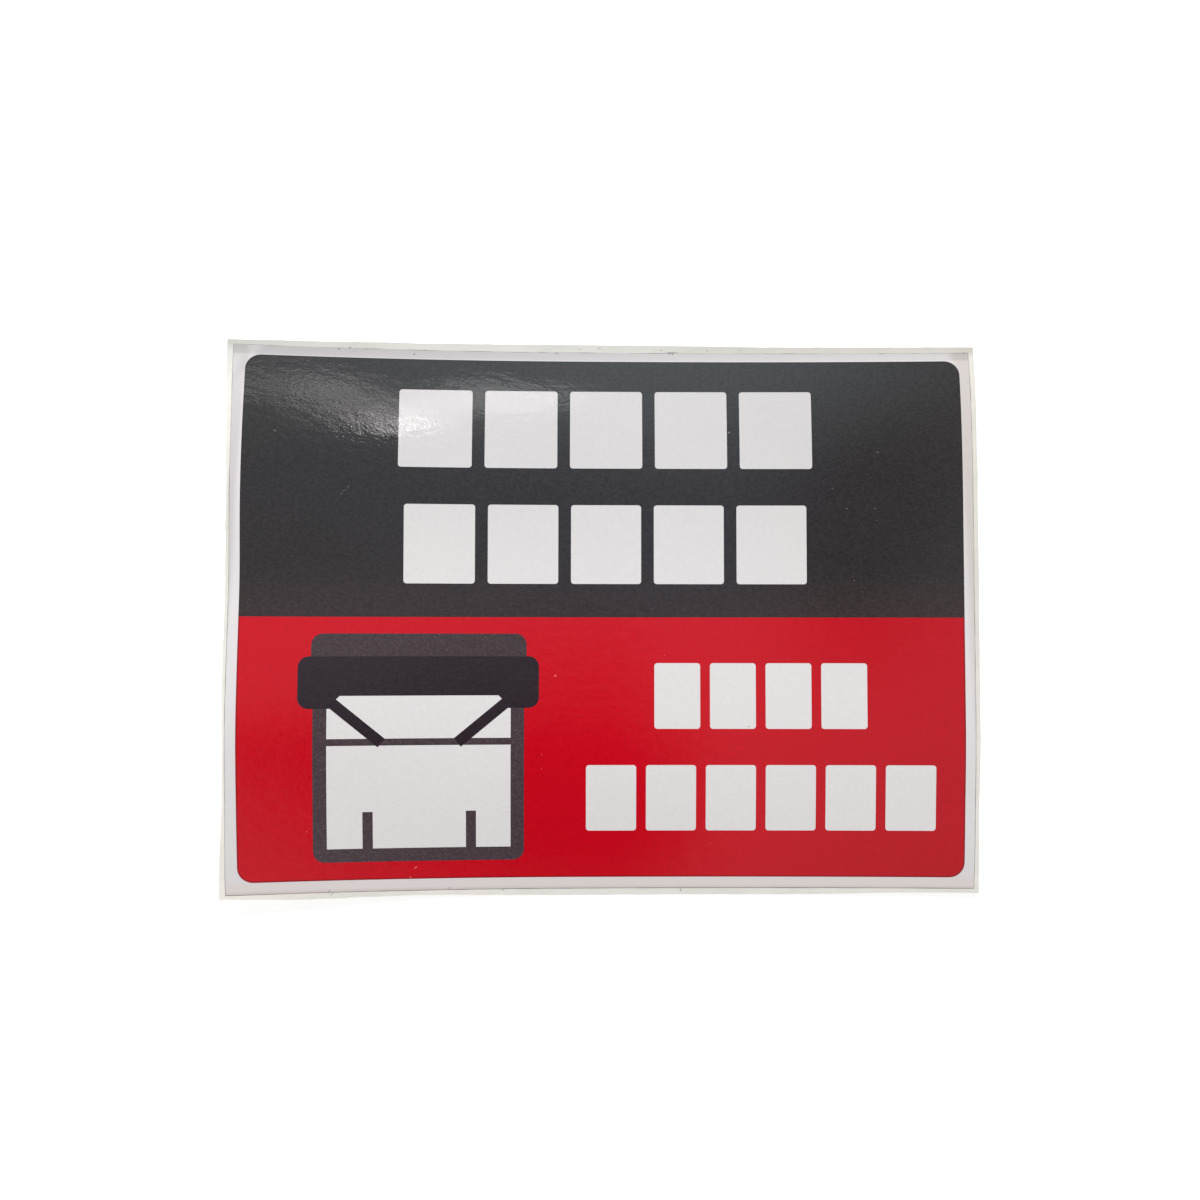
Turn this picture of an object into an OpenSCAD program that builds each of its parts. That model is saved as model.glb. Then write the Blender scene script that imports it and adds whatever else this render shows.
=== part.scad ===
// Printed switch sticker on its release liner, lying face up with a gentle curl

/* [Release liner] */
// Width of the liner, measured at its corners
liner_w = 199.8; // [196:0.2:240]
// Height of the liner, measured at its middle
liner_h = 148.6; // [144:0.2:190]
// Thickness of the liner
liner_t = 0.16; // [0.1:0.01:0.4]
// How far the ends of the top edge fall below its middle
top_fall = 0.8; // [0:0.1:3]
// How far the ends of the bottom edge rise above its middle
bottom_rise = 0.5; // [0:0.1:2]
// How far the left edge is cut in at its middle
left_waist = 0.6; // [0:0.1:1.5]
// How far the right edge is cut in at its middle
right_waist = 0.3; // [0:0.1:1.5]

/* [Film] */
// Thickness of the film with its adhesive
film_t = 0.12; // [0.08:0.01:0.3]
// White border between the left edge and the print
border_left = 2.6; // [0.5:0.05:4]
// White border between the right edge and the print
border_right = 2.6; // [0.5:0.05:4]
// White border above the top left corner of the print
border_top_left = 2.6; // [0.5:0.05:4]
// White border above the top right corner of the print
border_top_right = 2.25; // [0.5:0.05:4]
// White border below the bottom left corner of the print
border_bottom_left = 3.1; // [0.5:0.05:4]
// White border below the bottom right corner of the print
border_bottom_right = 2.9; // [0.5:0.05:4]

/* [Print] */
// Width of the printed panel
panel_w = 191.4; // [186:0.2:191.4]
// Height of the printed panel
panel_h = 139; // [134:0.2:139]
// Corner radius of the printed panel
panel_r = 4; // [1:0.5:10]
// Height of the red field
red_h = 69.3; // [68:0.1:72]
// Thickness of the ink
ink_t = 0.02; // [0.01:0.01:0.06]

/* [White blocks] */
// Width of the first row on the black field
row_1_w = 111; // [60:1:150]
// Width of the second row on the black field
row_2_w = 107.6; // [60:1:150]
// Width of the first row on the red field
row_3_w = 56.8; // [30:0.2:90]
// Width of the second row on the red field
row_4_w = 93.2; // [50:0.2:96]
// Height of the rows on the black field
large_row_h = 21.2; // [10:0.2:24]
// Height of the rows on the red field
small_row_h = 17.5; // [8:0.5:20]
// Black margin between the top of the panel and the first row
row_1_down = 8.5; // [5:0.5:12]
// Black gap between the first row and the second
large_row_gap = 9.9; // [4:0.1:12]
// Red margin between the black field and the first row on red
row_3_down = 12.2; // [5:0.1:16]
// Red gap between the rows on red
small_row_gap = 9.6; // [4:0.1:14]
// Distance from the middle of the panel to the middle of the rows on red
small_row_x = 41.3; // [41.3:0.1:44]
// Blocks in each row, from the top
block_counts = [5, 5, 4, 6];
// Gap between two large blocks
large_block_gap = 3.4; // [1:0.1:6]
// Gap between two small blocks
small_block_gap = 2.6; // [1:0.1:5]
// Corner radius of the blocks
block_r = 0.8; // [0.2:0.1:3]

/* [Switch figure] */
// Distance from the left edge of the panel to the middle of the figure
figure_x = 46.5; // [44:0.5:50]
// Red gap between the black field and the top of the case
figure_down = 4.4; // [2:0.1:6]
// Width of the case above the handle
cap_w = 56.1; // [50:0.1:60]
// Height of the case above the handle
cap_h = 6; // [3:0.1:8]
// Width of the case below the handle
case_w = 54.9; // [52:0.1:58]
// Height of the case below the handle
case_h = 40.4; // [36:0.1:42]
// Wall of the case
case_wall = 3.55; // [2:0.05:4]
// Corner radius of the case
case_r = 3; // [1:0.1:5]
// Width of the handle bar
bar_w = 62.7; // [58:0.1:68]
// Height of the handle bar
bar_h = 13.7; // [11:0.1:16]
// Corner radius of the handle bar
bar_r = 2.8; // [1:0.1:5]
// How far the window is cut up into the handle bar
notch_h = 3.35; // [1:0.05:6]
// Width of the top of the window
notch_w = 41.3; // [36:0.1:42]
// Width of the cut corners of the window
notch_corner = 0.9; // [0.3:0.1:1.5]
// Width of a handle arm
arm_w = 2.9; // [1.5:0.1:4]
// Drop of a handle arm below the top of the window
arm_drop = 11.3; // [9:0.1:13]
// Distance between the feet of the handle arms
feet_gap = 17.9; // [12:0.1:24]
// Height of the line across the window
line_h = 1.8; // [0.8:0.1:3]
// Distance from the handle bar to the line across the window
line_down = 7.9; // [6:0.1:10]
// Width of a slot bar
slot_w = 2.65; // [1:0.05:4]
// Height of a slot bar above the bottom wall
slot_h = 9.7; // [4:0.1:14]
// Distance between the middles of the slot bars
slot_gap = 26.9; // [16:0.1:34]

/* [Curl] */
// Rise of the left end
left_rise = 6.6; // [0:0.1:15]
// Distance from the middle to where the left end starts to rise
left_start = 3; // [0:1:40]
// Rise of the right end
right_rise = 2; // [0:0.1:15]
// Distance from the middle to where the right end starts to rise
right_start = 9; // [0:1:40]
// Height of the arch between the long edges
arch_h = 3.2; // [0:0.1:8]
// Half width of the flat crown of the arch
crown = 27.6; // [0:0.5:50]
// Spacing of the straight lines that follow the curl
facet = 11.5; // [8:0.5:20]

/* [Hidden] */
corner_steps = 6;
edge_steps = 12;
over = 1;
half_w = liner_w / 2;
half_h = liner_h / 2;
film_z = liner_t;
ink_z = liner_t + film_t;
panel_x = panel_w / 2;
panel_y = panel_h / 2;
split_y = red_h - panel_y;
cap_top = split_y - figure_down;
bar_top = cap_top - cap_h;
bar_bottom = bar_top - bar_h;
notch_top = bar_bottom + notch_h;
case_bottom = bar_bottom - case_h;
line_top = bar_bottom - line_down;
middle_x = figure_x - panel_x;
arm_top = [notch_w / 2 + notch_corner, notch_top - notch_corner];
arm_foot = [feet_gap / 2, notch_top - arm_drop];
arm_run = arm_foot - arm_top;

// Curl of the sheet
function part_of(t, start, end) = max(0, (t - start) / (end - start));
function left_lift(x) = left_rise * pow(part_of(-x, left_start, half_w), 2);
function right_lift(x) = right_rise * pow(part_of(x, right_start, half_w), 2);
function long_lift(x) = left_lift(x) + right_lift(x);
function arch_lift(y) = arch_h * (1 - pow(part_of(abs(y), crown, half_h), 2));
function lift(x, y) = long_lift(x) + arch_lift(y);

// Height of the straight facets, which the whole sheet shares
function facet_mix(low, high, t) = low + (high - low) * (t / facet - floor(t / facet));
function facet_line(t) = floor(t / facet) * facet;
function facet_lift(x, y) =
    facet_mix(long_lift(facet_line(x)), long_lift(facet_line(x) + facet), x)
    + facet_mix(arch_lift(facet_line(y)), arch_lift(facet_line(y) + facet), y);

// Outlines
function mix(p, q, t) = p + (q - p) * t;
function arc(x, y, r, start) =
    [for (i = [0:corner_steps]) let (a = start + 90 * i / corner_steps) [x + r * cos(a), y + r * sin(a)]];
function round_box(x, y, w, h, r) = concat(
    arc(x + w / 2 - r, y + h - r, r, 0),
    arc(x - w / 2 + r, y + h - r, r, 90),
    arc(x - w / 2 + r, y + r, r, 180),
    arc(x + w / 2 - r, y + r, r, 270));
function bow(t) = 1 - t * t;
function liner_outline() = concat(
    [for (i = [0:edge_steps - 1]) let (t = 1 - 2 * i / edge_steps)
        [t * half_w, half_h - top_fall * (1 - bow(t))]],
    [for (i = [0:edge_steps - 1]) let (t = 1 - 2 * i / edge_steps)
        [left_waist * bow(t) - half_w, mix(bottom_rise - half_h, half_h - top_fall, (1 + t) / 2)]],
    [for (i = [0:edge_steps - 1]) let (t = 2 * i / edge_steps - 1)
        [t * half_w, bottom_rise * (1 - bow(t)) - half_h]],
    [for (i = [0:edge_steps - 1]) let (t = 2 * i / edge_steps - 1)
        [half_w - right_waist * bow(t), mix(bottom_rise - half_h, half_h - top_fall, (1 + t) / 2)]]);
function arm_outline() =
    let (across = [-arm_run[1], arm_run[0]] * arm_w / norm(arm_run), outer = arm_foot + across)
    [[outer[0] + (bar_bottom - outer[1]) * arm_run[0] / arm_run[1], bar_bottom],
        outer, arm_foot, arm_top, [notch_w / 2, notch_top]];
seat = min([for (p = liner_outline()) facet_lift(p[0], p[1])]);

// A layer of the curled sheet that covers a box, as wide as whole facets
module layer(x0, x1, y0, y1, z, t) {
    i0 = floor(x0 / facet);
    j0 = floor(y0 / facet);
    cols = ceil(x1 / facet) - i0;
    rows = ceil(y1 / facet) - j0;
    stride = cols + 1;
    top = stride * (rows + 1);
    sheet = [for (j = [0:rows], i = [0:cols]) let (x = (i0 + i) * facet, y = (j0 + j) * facet)
        [x, y, z - seat + lift(x, y)]];
    polyhedron(
        points = concat(sheet, [for (p = sheet) p + [0, 0, t]]),
        faces = concat(
            [for (j = [0:rows - 1], i = [0:cols - 1]) let (a = j * stride + i)
                each [[a, a + 1, a + stride + 1], [a, a + stride + 1, a + stride]]],
            [for (j = [0:rows - 1], i = [0:cols - 1]) let (a = top + j * stride + i)
                each [[a, a + stride + 1, a + 1], [a, a + stride, a + stride + 1]]],
            [for (i = [0:cols - 1]) each let (a = i, b = rows * stride + i)
                [[a, a + top, a + top + 1, a + 1], [b, b + 1, b + top + 1, b + top]]],
            [for (j = [0:rows - 1]) each let (a = j * stride, b = a + cols)
                [[a, a + stride, a + stride + top, a + top], [b, b + top, b + stride + top, b + stride]]]));
}

// A layer cut to the flat outline that follows it
module cut_layer(x0, x1, y0, y1, z, t) {
    intersection() {
        layer(x0, x1, y0, y1, z, t);
        translate([0, 0, -over])
            linear_extrude(height = arch_h + left_rise + right_rise + 3 * over)
                children();
    }
}

// A row of equal plain blocks, where the real print has a word
module block_row(x, top, w, h, count, gap) {
    block_w = (w - (count - 1) * gap) / count;
    for (i = [0:count - 1])
        polygon(round_box(x - w / 2 + block_w / 2 + i * (block_w + gap), top - h, block_w, h, block_r));
}

// The handle bar with no window
module bar_shape() {
    polygon(round_box(middle_x, bar_bottom, bar_w, bar_h, bar_r));
}

// The outer shape of the case, behind the handle
module case_shape() {
    polygon(round_box(middle_x, bar_top - case_r, cap_w, cap_h + case_r, case_r));
    polygon(round_box(middle_x, case_bottom, case_w, case_h + case_r, case_r));
}

// The handle: a bar with two square-ended arms, and the window cut up between them
module handle_shape() {
    left_arm = [for (p = arm_outline()) [-p[0], p[1]]];
    right_arm = [for (i = [len(left_arm) - 1:-1:0]) arm_outline()[i]];
    bar = round_box(0, bar_bottom, bar_w, bar_h, bar_r);
    bottom_left = 3 * (corner_steps + 1);
    translate([middle_x, 0])
        polygon(concat(
            [for (i = [0:bottom_left - 1]) bar[i]],
            left_arm,
            right_arm,
            [for (i = [bottom_left:len(bar) - 1]) bar[i]]));
}

// The clear space inside the case, before the handle covers it
module case_window_shape() {
    translate([middle_x - case_w / 2 + case_wall, case_bottom + case_wall])
        square([case_w - 2 * case_wall, case_h]);
}

module case_lines_shape() {
    translate([middle_x - case_w / 2 + case_wall / 2, line_top - line_h])
        square([case_w - case_wall, line_h]);
    for (side = [-1, 1])
        translate([middle_x + side * slot_gap / 2 - slot_w / 2, case_bottom + case_wall / 2])
            square([slot_w, slot_h + case_wall / 2]);
}

module panel_shape() {
    polygon(round_box(0, -panel_y, panel_w, panel_h, panel_r));
}

module release_liner() {
    color([0.80, 0.82, 0.75])
        cut_layer(-half_w, half_w, -half_h, half_h, 0, liner_t)
            polygon(liner_outline());
}

module vinyl_film() {
    left = -panel_x - border_left;
    right = panel_x + border_right;
    color([0.90, 0.88, 0.90])
        cut_layer(left, right, -half_h, half_h, film_z, film_t)
            polygon([
                [left, panel_y + border_top_left],
                [left, -panel_y - border_bottom_left],
                [right, -panel_y - border_bottom_right],
                [right, panel_y + border_top_right]]);
}

module black_field() {
    row_1_top = panel_y - row_1_down;
    row_2_top = row_1_top - large_row_h - large_row_gap;
    color([0.10, 0.10, 0.11])
        cut_layer(-panel_x, panel_x, split_y, panel_y, ink_z, ink_t)
            difference() {
                intersection() {
                    panel_shape();
                    translate([-panel_x - over, split_y])
                        square([panel_w + 2 * over, panel_h]);
                }
                block_row(0, row_1_top, row_1_w, large_row_h, block_counts[0], large_block_gap);
                block_row(0, row_2_top, row_2_w, large_row_h, block_counts[1], large_block_gap);
            }
}

module red_field() {
    row_3_top = split_y - row_3_down;
    row_4_top = row_3_top - small_row_h - small_row_gap;
    color([0.78, 0.07, 0.12])
        cut_layer(-panel_x, panel_x, -panel_y, split_y, ink_z, ink_t)
            difference() {
                intersection() {
                    panel_shape();
                    translate([-panel_x - over, split_y - panel_h])
                        square([panel_w + 2 * over, panel_h]);
                }
                case_shape();
                bar_shape();
                block_row(small_row_x, row_3_top, row_3_w, small_row_h, block_counts[2], small_block_gap);
                block_row(small_row_x, row_4_top, row_4_w, small_row_h, block_counts[3], small_block_gap);
            }
}

module switch_case_print() {
    color([0.28, 0.26, 0.27])
        cut_layer(middle_x - cap_w / 2, middle_x + cap_w / 2, case_bottom, cap_top, ink_z, ink_t)
            difference() {
                union() {
                    difference() {
                        case_shape();
                        case_window_shape();
                    }
                    case_lines_shape();
                }
                handle_shape();
            }
}

module switch_handle_print() {
    color([0.12, 0.11, 0.13])
        cut_layer(middle_x - bar_w / 2, middle_x + bar_w / 2, arm_foot[1] - arm_w, bar_top, ink_z, ink_t)
            handle_shape();
}

release_liner();
vinyl_film();
black_field();
red_field();
switch_case_print();
switch_handle_print();
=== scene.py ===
"""Looks of a printed switch sticker that lies on its release liner, gently curled.

All sizes are in metres, in the frame of the solids: +X runs along the printed rows, +Y up
the print, and +Z up out of its face.
"""

import logging
import math
from dataclasses import dataclass
from enum import Enum
from typing import Iterable

import bpy
from mathutils import Euler, Matrix, Vector, noise


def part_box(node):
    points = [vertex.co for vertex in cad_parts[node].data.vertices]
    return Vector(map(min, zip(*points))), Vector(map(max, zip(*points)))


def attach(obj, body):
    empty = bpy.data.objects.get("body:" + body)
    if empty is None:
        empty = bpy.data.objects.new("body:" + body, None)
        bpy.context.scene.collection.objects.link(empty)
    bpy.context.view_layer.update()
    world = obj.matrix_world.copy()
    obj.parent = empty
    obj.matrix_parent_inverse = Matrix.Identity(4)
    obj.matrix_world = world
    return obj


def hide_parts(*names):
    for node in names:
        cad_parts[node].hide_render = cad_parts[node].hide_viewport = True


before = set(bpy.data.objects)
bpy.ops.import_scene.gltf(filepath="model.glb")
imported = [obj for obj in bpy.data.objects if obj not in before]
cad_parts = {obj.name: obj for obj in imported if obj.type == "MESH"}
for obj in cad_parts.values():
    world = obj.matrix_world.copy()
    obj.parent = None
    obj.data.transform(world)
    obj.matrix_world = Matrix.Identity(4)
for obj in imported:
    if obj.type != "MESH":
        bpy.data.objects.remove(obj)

LOG = logging.getLogger("sticker")
MM = 0.001
BODY = "root"

Colour = tuple[float, float, float]
Point = tuple[float, float]

PANEL = (191.4 * MM, 139 * MM)
PANEL_CORNER = 4 * MM


# Mesh tools


class Cut(Enum):
    """How a cutter shapes a layer."""

    KEEP_INSIDE = "INTERSECT"
    OPEN_UP = "DIFFERENCE"
    JOIN = "UNION"


def start_clean() -> None:
    """Leaves edit mode and deselects everything, so that the next operator acts alone."""
    if bpy.context.object and bpy.context.object.mode != "OBJECT":
        bpy.ops.object.mode_set(mode="OBJECT")
    bpy.ops.object.select_all(action="DESELECT")


def only(piece: bpy.types.Object) -> None:
    """Makes a piece the one selected and active object."""
    start_clean()
    piece.select_set(True)
    bpy.context.view_layer.objects.active = piece


def settle(piece: bpy.types.Object) -> None:
    """Moves a piece's place, turn and scale into its mesh."""
    only(piece)
    bpy.ops.object.transform_apply(location=True, rotation=True, scale=True)


def add_slab(
    name: str, size: Point, middle: Point, z: float, thickness: float, cell: float
) -> bpy.types.Object:
    """Adds a flat closed slab of even cells, which a curl can bend smoothly.

    Args:
        name: The piece's name.
        size: Width and height of the slab.
        middle: Where its middle lies.
        z: Height of its underside.
        thickness: Its thickness.
        cell: The greatest width of a cell.

    Returns:
        The slab, with its place in its mesh.
    """
    start_clean()
    bpy.ops.mesh.primitive_grid_add(
        x_subdivisions=math.ceil(size[0] / cell),
        y_subdivisions=math.ceil(size[1] / cell),
        size=1,
        location=(middle[0], middle[1], z),
    )
    slab = bpy.context.object
    slab.name = slab.data.name = name
    slab.scale = (size[0], size[1], 1)
    settle(slab)
    bpy.ops.object.mode_set(mode="EDIT")
    bpy.ops.mesh.select_all(action="SELECT")
    bpy.ops.mesh.extrude_region_move(TRANSFORM_OT_translate={"value": (0, 0, thickness)})
    bpy.ops.mesh.select_all(action="SELECT")
    bpy.ops.mesh.normals_make_consistent(inside=False)
    bpy.ops.object.mode_set(mode="OBJECT")
    return slab


def add_block(
    name: str, size: Point, middle: Point, radius: float, reach: float, steps: int = 10
) -> bpy.types.Object:
    """Adds an upright block with rounded corners, for cutting a layer.

    Args:
        name: The block's name.
        size: Its width and height, seen from above.
        middle: Where its middle lies.
        radius: Radius of its four upright edges, or 0.
        reach: How far it stands above and below the table.
        steps: Facets in each rounded corner.

    Returns:
        The block, with its place in its mesh.
    """
    start_clean()
    bpy.ops.mesh.primitive_cube_add(size=1, location=(middle[0], middle[1], 0))
    block = bpy.context.object
    block.name = block.data.name = name
    block.scale = (size[0], size[1], 2 * reach)
    settle(block)
    if radius > 0:
        bpy.ops.object.mode_set(mode="EDIT")
        bpy.ops.mesh.select_mode(type="EDGE")
        bpy.ops.mesh.select_all(action="DESELECT")
        bpy.ops.object.mode_set(mode="OBJECT")
        for edge in block.data.edges:
            low, high = (block.data.vertices[i].co for i in edge.vertices)
            edge.select = abs(low.z - high.z) > reach
        bpy.ops.object.mode_set(mode="EDIT")
        bpy.ops.mesh.bevel(offset=radius, segments=steps, affect="EDGES")
        bpy.ops.object.mode_set(mode="OBJECT")
    return block


def join(pieces: list[bpy.types.Object]) -> bpy.types.Object:
    """Joins pieces that don't touch into the first of them."""
    start_clean()
    for piece in pieces:
        piece.select_set(True)
    bpy.context.view_layer.objects.active = pieces[0]
    bpy.ops.object.join()
    return bpy.context.object


def cut(layer: bpy.types.Object, cutter: bpy.types.Object, how: Cut, keep: bool = False) -> None:
    """Shapes a layer with a cutter.

    Args:
        layer: The piece to shape.
        cutter: The closed shape to cut it with.
        how: What the cut does.
        keep: Whether the cutter is needed again.
    """
    only(layer)
    modifier = layer.modifiers.new("cut", "BOOLEAN")
    modifier.operation = how.value
    modifier.solver = "EXACT"
    modifier.object = cutter
    bpy.ops.object.modifier_apply(modifier=modifier.name)
    if not keep:
        bpy.data.objects.remove(cutter)


def smooth(piece: bpy.types.Object, angle: float = 30) -> None:
    """Smooths a piece's faces and keeps its cut edges sharp."""
    only(piece)
    bpy.ops.object.shade_smooth_by_angle(angle=math.radians(angle))


# The sheet's form


def past(value: float, start: float, end: float) -> float:
    """Returns how far a value is from start to end, as a share that isn't below 0."""
    return max(0.0, (value - start) / (end - start))


@dataclass(frozen=True)
class Wave:
    """A soft rise or dip of one end of the sheet, centred at a height on the print."""

    y: float
    spread: float
    rise: float

    def at(self, y: float) -> float:
        """Returns how much it lifts the end at a height on the print."""
        return self.rise * math.exp(-(((y - self.y) / self.spread) ** 2))


@dataclass(frozen=True)
class Curl:
    """The curl of the whole sheet: both ends rise, and an arch runs between the long edges."""

    half_w: float
    half_h: float
    left_rise: float = 6.6 * MM
    left_start: float = 3 * MM
    right_rise: float = 2 * MM
    right_start: float = 9 * MM
    arch_h: float = 3.2 * MM
    crown: float = 27.6 * MM
    left_waves: tuple[Wave, ...] = (
        Wave(10 * MM, 13 * MM, -0.8 * MM),
        Wave(-28 * MM, 17 * MM, 0.8 * MM),
        Wave(66 * MM, 18 * MM, -0.5 * MM),
    )
    right_waves: tuple[Wave, ...] = (Wave(64 * MM, 22 * MM, 0.7 * MM), Wave(-50 * MM, 12 * MM, -0.4 * MM))

    def lift(self, x: float, y: float) -> float:
        """Returns how high the sheet's underside is over the table at a place."""
        left_rise = self.left_rise + sum(w.at(y) for w in self.left_waves)
        right_rise = self.right_rise + sum(w.at(y) for w in self.right_waves)
        left = left_rise * past(-x, self.left_start, self.half_w) ** 2
        right = right_rise * past(x, self.right_start, self.half_w) ** 2
        arch = self.arch_h * (1 - past(abs(y), self.crown, self.half_h) ** 2)
        return left + right + arch

    def bend(self, piece: bpy.types.Object) -> None:
        """Lays a flat piece on the curl."""
        for vertex in piece.data.vertices:
            vertex.co.z += self.lift(vertex.co.x, vertex.co.y)
        piece.data.update()


@dataclass(frozen=True)
class Bulge:
    """A place along a cut where the blade strayed: its share of the way, its spread and how far."""

    share: float
    spread: float
    out: float

    def at(self, share: float) -> float:
        """Returns how far the cut stands out at a share of its way."""
        return self.out * math.exp(-(((share - self.share) / self.spread) ** 2))


@dataclass(frozen=True)
class Edge:
    """A cut edge between two corners, with a long bow, a hand's small waver and its bulges.

    A bulge stands out to the right of the way from start to end.
    """

    start: Point
    end: Point
    bow: Point = (0.0, 0.0)
    waver: float = 0.0
    wave: float = 9 * MM
    seed: float = 0.0
    bulges: tuple[Bulge, ...] = ()

    def at(self, share: float) -> Point:
        """Returns the point at a share of the way along the edge."""
        x, y = (a + (b - a) * share for a, b in zip(self.start, self.end))
        swell = 4 * share * (1 - share)
        length = math.dist(self.start, self.end)
        along = share * length / self.wave
        shake = noise.noise(Vector((along, self.seed, 0)))
        shake += 0.5 * noise.noise(Vector((along * 3.1, self.seed, 5)))
        shake *= self.waver * min(1.0, 12 * share, 12 * (1 - share))
        shake += sum(b.at(share) for b in self.bulges)
        across = ((self.end[1] - self.start[1]) / length, (self.start[0] - self.end[0]) / length)
        return x + self.bow[0] * swell + across[0] * shake, y + self.bow[1] * swell + across[1] * shake


@dataclass(frozen=True)
class FourSided:
    """An outline of four cut edges, each running the way of +X or +Y."""

    left: Edge
    right: Edge
    bottom: Edge
    top: Edge

    def place(self, u: float, v: float) -> Point:
        """Returns where a point of the unit square falls inside the outline."""
        left, right, bottom, top = self.left.at(v), self.right.at(v), self.bottom.at(u), self.top.at(u)
        corners = (self.bottom.at(0), self.bottom.at(1), self.top.at(0), self.top.at(1))
        weights = ((1 - u) * (1 - v), u * (1 - v), (1 - u) * v, u * v)
        x, y = (
            (1 - u) * left[i] + u * right[i] + (1 - v) * bottom[i] + v * top[i]
            - sum(w * c[i] for w, c in zip(weights, corners))
            for i in (0, 1)
        )
        return x, y

    def shape(self, slab: bpy.types.Object, size: Point) -> None:
        """Moves a slab's points so that its rim follows the outline.

        Args:
            slab: A slab of this size, round the middle of the table.
            size: Its width and height.
        """
        for vertex in slab.data.vertices:
            u, v = vertex.co.x / size[0] + 0.5, vertex.co.y / size[1] + 0.5
            vertex.co.x, vertex.co.y = self.place(min(1, max(0, u)), min(1, max(0, v)))
        slab.data.update()


# Shader tools


def linear(red: int, green: int, blue: int) -> Colour:
    """Returns the linear colour of a display colour given from 0 to 255."""
    shares = (c / 255 for c in (red, green, blue))
    return tuple(c / 12.92 if c <= 0.04045 else ((c + 0.055) / 1.055) ** 2.4 for c in shares)


class Wiring:
    """A short hand for building a node tree."""

    def __init__(self, tree: bpy.types.NodeTree) -> None:
        """Starts on a node tree."""
        self.tree = tree

    def add(self, kind: str, inputs: dict | None = None, **settings: object) -> bpy.types.Node:
        """Adds a node.

        Args:
            kind: The node's type, without its ShaderNode prefix where it has one.
            inputs: Values or sockets for its inputs, by name or number.
            settings: Its properties.

        Returns:
            The node.
        """
        kind = kind if kind.startswith("NodeGroup") else "ShaderNode" + kind
        node = self.tree.nodes.new(kind)
        for name, value in settings.items():
            setattr(node, name, value)
        for name, value in (inputs or {}).items():
            if isinstance(value, bpy.types.NodeSocket):
                self.tree.links.new(value, node.inputs[name])
            else:
                node.inputs[name].default_value = value
        return node

    def math(self, operation: str, *values: object, clamp: bool = False) -> bpy.types.NodeSocket:
        """Adds a Math node and returns its value."""
        inputs = dict(enumerate(values))
        return self.add("Math", inputs, operation=operation, use_clamp=clamp).outputs[0]

    def ramp(self, value: bpy.types.NodeSocket, low: float, high: float) -> bpy.types.NodeSocket:
        """Adds a smooth step of a value from low to high and returns it, from 0 to 1."""
        inputs = {"Value": value, "From Min": low, "From Max": high}
        return self.add("MapRange", inputs, interpolation_type="SMOOTHSTEP").outputs[0]

    def mix(self, share: object, first: object, second: object) -> bpy.types.NodeSocket:
        """Adds a colour mix and returns its colour."""
        node = self.add("Mix", data_type="RGBA")
        for socket, value in zip((node.inputs[0], node.inputs[6], node.inputs[7]), (share, first, second)):
            if isinstance(value, bpy.types.NodeSocket):
                self.tree.links.new(value, socket)
            else:
                socket.default_value = (*value, 1) if isinstance(value, tuple) else value
        return node.outputs[2]

    def noise(
        self, where: bpy.types.NodeSocket, scale: float, detail: float, rough: float = 0.5
    ) -> bpy.types.NodeSocket:
        """Adds a noise pattern and returns its value."""
        inputs = {"Vector": where, "Scale": scale, "Detail": detail, "Roughness": rough}
        return self.add("TexNoise", inputs).outputs["Fac"]

    def place(self, scale: Colour = (1, 1, 1), turn: float = 0.0) -> bpy.types.NodeSocket:
        """Adds Object coordinates, stretched and turned about Z, and returns them."""
        where = self.add("TexCoord").outputs["Object"]
        inputs = {"Vector": where, "Scale": scale, "Rotation": (0, 0, turn)}
        return self.add("Mapping", inputs, vector_type="TEXTURE").outputs[0]


@dataclass(frozen=True)
class Fade:
    """A tint that comes in along a way over the print, from none to full; most fades here paint light and
    shade by place.
    """

    way: Point
    none_at: float
    full_at: float
    tint: Colour

    def over(self, w: Wiring, colour: bpy.types.NodeSocket) -> bpy.types.NodeSocket:
        """Returns a colour with the tint multiplied in."""
        where = w.add("TexCoord").outputs["Object"]
        along = w.add("VectorMath", {0: where, 1: (*self.way, 0)}, operation="DOT_PRODUCT")
        tinted = w.add("VectorMath", {0: colour, 1: self.tint}, operation="MULTIPLY")
        share = w.ramp(along.outputs["Value"], self.none_at, self.full_at)
        return w.mix(share, colour, tinted.outputs["Vector"])


@dataclass(frozen=True)
class Mark:
    """One small mark on the sheet, in millimetres: its place, length, width, turn and strength."""

    x: float
    y: float
    length: float
    width: float
    turn: float = 0.0
    strength: float = 1.0


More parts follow.
